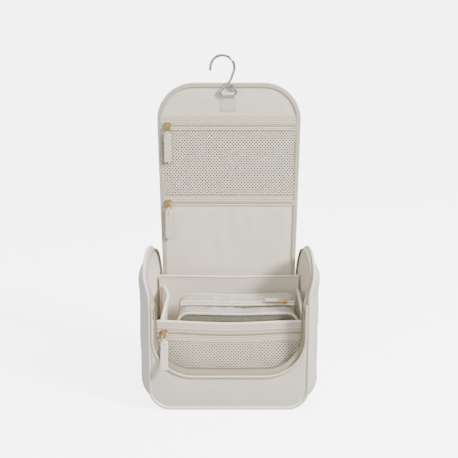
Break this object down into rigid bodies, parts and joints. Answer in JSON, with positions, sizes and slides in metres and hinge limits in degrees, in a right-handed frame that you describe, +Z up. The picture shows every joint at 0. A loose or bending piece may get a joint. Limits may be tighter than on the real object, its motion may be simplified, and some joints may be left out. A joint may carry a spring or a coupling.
{
  "type": "hanging toiletry bag",
  "caption": "Standing toiletry bag with a lid that holds zipped pockets and a hanging hook, and a loose clear pouch inside.",
  "frame": {"origin": "on the surface that the bag stands on, under the middle of its base", "axes": "+X to the bag's right as seen from the front, +Y from front to back, +Z up"},
  "size_m": [0.23, 0.1303, 0.4375],
  "materials": {
    "outer": "smooth satin grain",
    "piping": "satin",
    "edging": "fine woven tape",
    "board": "matt",
    "lining": "satin weave",
    "mesh": "knitted mesh",
    "zip_tape": "woven tape with nylon coil",
    "gold": "polished",
    "steel": "polished",
    "tab_leather": "smooth",
    "clear": "clear film",
    "binding": "woven tape"
  },
  "bodies": {
    "bag": {"front_panel": "outer", "back_panel": "outer", "gusset_left": "outer", "gusset_right": "outer", "base_panel": "outer", "front_piping": "piping", "back_piping": "piping", "base_board": "board", "liner_left": "lining", "liner_right": "lining", "liner_back": "lining", "back_slip_pocket": "lining", "side_slip_pocket": "lining", "side_mesh_pocket": "mesh", "ear_zip_left": "zip_tape", "ear_zip_right": "zip_tape", "opening_rim": "edging", "opening_tape": "zip_tape", "front_pocket_back": "lining", "front_pocket_band": "lining", "front_pocket_zip": "zip_tape", "front_pocket_mesh": "mesh"},
    "lid_1": {"lid_shell_1": "outer", "lid_lining_1": "lining", "lid_rim_1": "edging", "lid_pocket_lower": "lining"},
    "lid_2": {"lid_shell_2": "outer", "lid_lining_2": "lining", "lid_rim_2": "edging", "lid_pocket_upper": "lining", "lid_zip_low": "zip_tape"},
    "lid_3": {"lid_shell_3": "outer", "lid_lining_3": "lining", "lid_rim_3": "edging", "lid_mesh_lower": "mesh"},
    "lid_4": {"lid_shell_4": "outer", "lid_lining_4": "lining", "lid_rim_4": "edging", "lid_mesh_upper": "mesh", "lid_zip_top": "zip_tape", "hanger_loop": "tab_leather"},
    "hook": {"hook": "steel"},
    "lid_top_slider": {"lid_top_slider": "gold"},
    "lid_top_pull": {"lid_top_link": "gold", "lid_top_tab": "tab_leather"},
    "lid_low_slider": {"lid_low_slider": "gold"},
    "lid_low_pull": {"lid_low_link": "gold", "lid_low_tab": "tab_leather"},
    "front_slider": {"front_slider": "gold"},
    "front_pull": {"front_link": "gold", "front_tab": "tab_leather"},
    "main_slider_left": {"main_slider_left": "gold"},
    "main_pull_left": {"main_pull_left": "tab_leather"},
    "main_slider_right": {"main_slider_right": "gold"},
    "main_pull_right": {"main_pull_right": "tab_leather"},
    "pouch": {"pouch_shell": "clear", "pouch_binding": "binding", "pouch_zip": "binding"},
    "pouch_slider": {"pouch_slider": "gold"},
    "pouch_pull": {"pouch_pull": "binding"}
  },
  "joints": [
    {"name": "lid_hinge", "type": "hinge", "parent": "bag", "child": "lid_1", "pos_m": [0, 0.054, 0.14], "axis": [-1, 0, 0], "range_deg": [-25, 110]},
    {"name": "lid_curl_first", "type": "hinge", "parent": "lid_1", "child": "lid_2", "pos_m": [0, 0.0515, 0.1955], "axis": [-1, 0, 0], "range_deg": [-65, 0]},
    {"name": "lid_curl", "type": "hinge", "parent": "lid_2", "child": "lid_3", "pos_m": [0, 0.0515, 0.2545], "axis": [-1, 0, 0], "range_deg": [-63, 0]},
    {"name": "lid_curl_last", "type": "hinge", "parent": "lid_3", "child": "lid_4", "pos_m": [0, 0.0515, 0.3025], "axis": [-1, 0, 0], "range_deg": [-27, 0]},
    {"name": "hook_fold", "type": "hinge", "parent": "lid_4", "child": "hook", "pos_m": [0, 0.04945, 0.38677], "axis": [-1, 0, 0], "range_deg": [-176, 0]},
    {"name": "lid_top_zip_slide", "type": "slide", "parent": "lid_4", "child": "lid_top_slider", "axis": [1, 0, 0], "range_m": [0, 0.155]},
    {"name": "lid_top_pull_swing", "type": "hinge", "parent": "lid_top_slider", "child": "lid_top_pull", "pos_m": [-0.079, 0.0483, 0.34597], "axis": [-1, 0, 0], "range_deg": [0, 120]},
    {"name": "lid_low_zip_slide", "type": "slide", "parent": "lid_2", "child": "lid_low_slider", "axis": [1, 0, 0], "range_m": [0, 0.155]},
    {"name": "lid_low_pull_swing", "type": "hinge", "parent": "lid_low_slider", "child": "lid_low_pull", "pos_m": [-0.079, 0.0483, 0.244], "axis": [-1, 0, 0], "range_deg": [0, 120]},
    {"name": "front_zip_slide", "type": "slide", "parent": "bag", "child": "front_slider", "axis": [1, 0, 0], "range_m": [0, 0.161]},
    {"name": "front_pull_swing", "type": "hinge", "parent": "front_slider", "child": "front_pull", "pos_m": [-0.081, -0.0439, 0.098], "axis": [1, 0, 0], "range_deg": [-149, 0]},
    {"name": "main_zip_run_left", "type": "hinge", "parent": "bag", "child": "main_slider_left", "pos_m": [-0.0942, 0, 0.141], "axis": [1, 0, 0], "range_deg": [0, 160]},
    {"name": "main_pull_swing_left", "type": "hinge", "parent": "main_slider_left", "child": "main_pull_left", "pos_m": [-0.0942, 0.05997, 0.1473], "axis": [1, 0, 0], "range_deg": [0, 90]},
    {"name": "main_zip_run_right", "type": "hinge", "parent": "bag", "child": "main_slider_right", "pos_m": [0.0942, 0, 0.141], "axis": [1, 0, 0], "range_deg": [0, 160]},
    {"name": "main_pull_swing_right", "type": "hinge", "parent": "main_slider_right", "child": "main_pull_right", "pos_m": [0.0942, 0.05997, 0.1473], "axis": [1, 0, 0], "range_deg": [0, 90]},
    {"name": "pouch_lift", "type": "slide", "parent": "bag", "child": "pouch", "axis": [0, 0, 1], "range_m": [0, 0.2]},
    {"name": "pouch_zip_slide", "type": "slide", "parent": "pouch", "child": "pouch_slider", "axis": [-1, 0, 0], "range_m": [0, 0.105]},
    {"name": "pouch_pull_lift", "type": "hinge", "parent": "pouch_slider", "child": "pouch_pull", "pos_m": [0.071, -0.00432, 0.12912], "axis": [0, 0.9942, 0.1077], "range_deg": [0, 150]}
  ],
  "couplings": [
    {"joint": "lid_curl_first", "follows": "lid_curl", "ratio": 1.0317},
    {"joint": "lid_curl_last", "follows": "lid_curl", "ratio": 0.42857}
  ]
}
